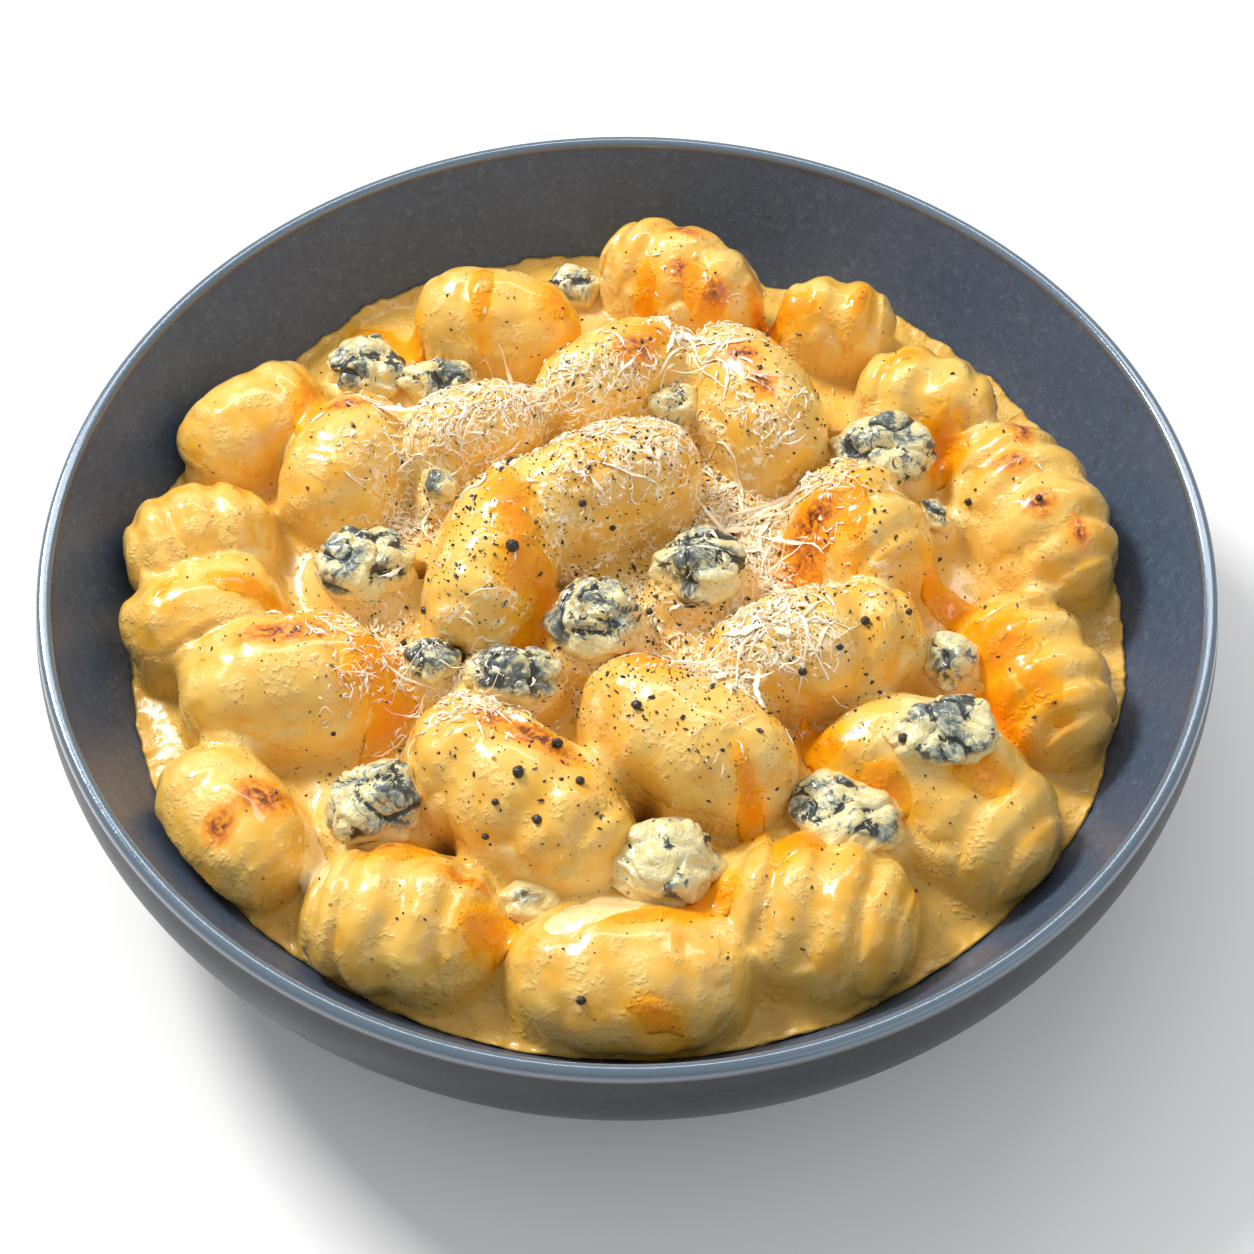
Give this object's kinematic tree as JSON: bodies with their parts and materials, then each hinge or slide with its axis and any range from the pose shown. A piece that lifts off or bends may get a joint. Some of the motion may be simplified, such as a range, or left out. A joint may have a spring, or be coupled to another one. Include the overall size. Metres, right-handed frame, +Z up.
{
  "type": "bowl of potato gnocchi",
  "caption": "Round shallow stoneware bowl filled with potato gnocchi in melted cheese sauce, with blue cheese crumbles, grated cheese and pepper.",
  "frame": {"origin": "middle of the foot ring, on the table", "axes": "+Z up, -Y towards the viewer of the picture"},
  "size_m": [0.2006, 0.2006, 0.0518],
  "materials": {
    "glaze": "satin slate-blue glaze with fine speckle and a glossy paler lip",
    "sauce": "glossy cream cheese sauce with melted orange cheese",
    "dough": "soft yellow potato dough, wet with sauce, browned in spots",
    "blue_cheese": "crumbly cream cheese with blue-green veins",
    "grated_cheese": "fine pale grated hard cheese",
    "pepper": "dull black cracked pepper"
  },
  "bodies": {
    "root": {"bowl": "glaze", "sauce": "sauce", "gnocco_01": "dough", "gnocco_02": "dough", "gnocco_03": "dough", "gnocco_04": "dough", "gnocco_05": "dough", "gnocco_06": "dough", "gnocco_07": "dough", "gnocco_08": "dough", "gnocco_09": "dough", "gnocco_10": "dough", "gnocco_11": "dough", "gnocco_12": "dough", "gnocco_13": "dough", "gnocco_14": "dough", "gnocco_15": "dough", "gnocco_16": "dough", "gnocco_17": "dough", "gnocco_18": "dough", "gnocco_19": "dough", "gnocco_20": "dough", "gnocco_21": "dough", "gnocco_22": "dough", "gnocco_23": "dough", "gnocco_24": "dough", "gnocco_25": "dough", "gnocco_26": "dough", "blue_cheese_01": "blue_cheese", "blue_cheese_02": "blue_cheese", "blue_cheese_03": "blue_cheese", "blue_cheese_04": "blue_cheese", "blue_cheese_05": "blue_cheese", "blue_cheese_06": "blue_cheese", "blue_cheese_07": "blue_cheese", "blue_cheese_08": "blue_cheese", "blue_cheese_09": "blue_cheese", "blue_cheese_10": "blue_cheese", "blue_cheese_11": "blue_cheese", "blue_cheese_12": "blue_cheese", "blue_cheese_13": "blue_cheese", "blue_cheese_14": "blue_cheese", "blue_cheese_15": "blue_cheese", "blue_cheese_16": "blue_cheese", "blue_cheese_17": "blue_cheese", "blue_cheese_18": "blue_cheese"}
  },
  "joints": []
}
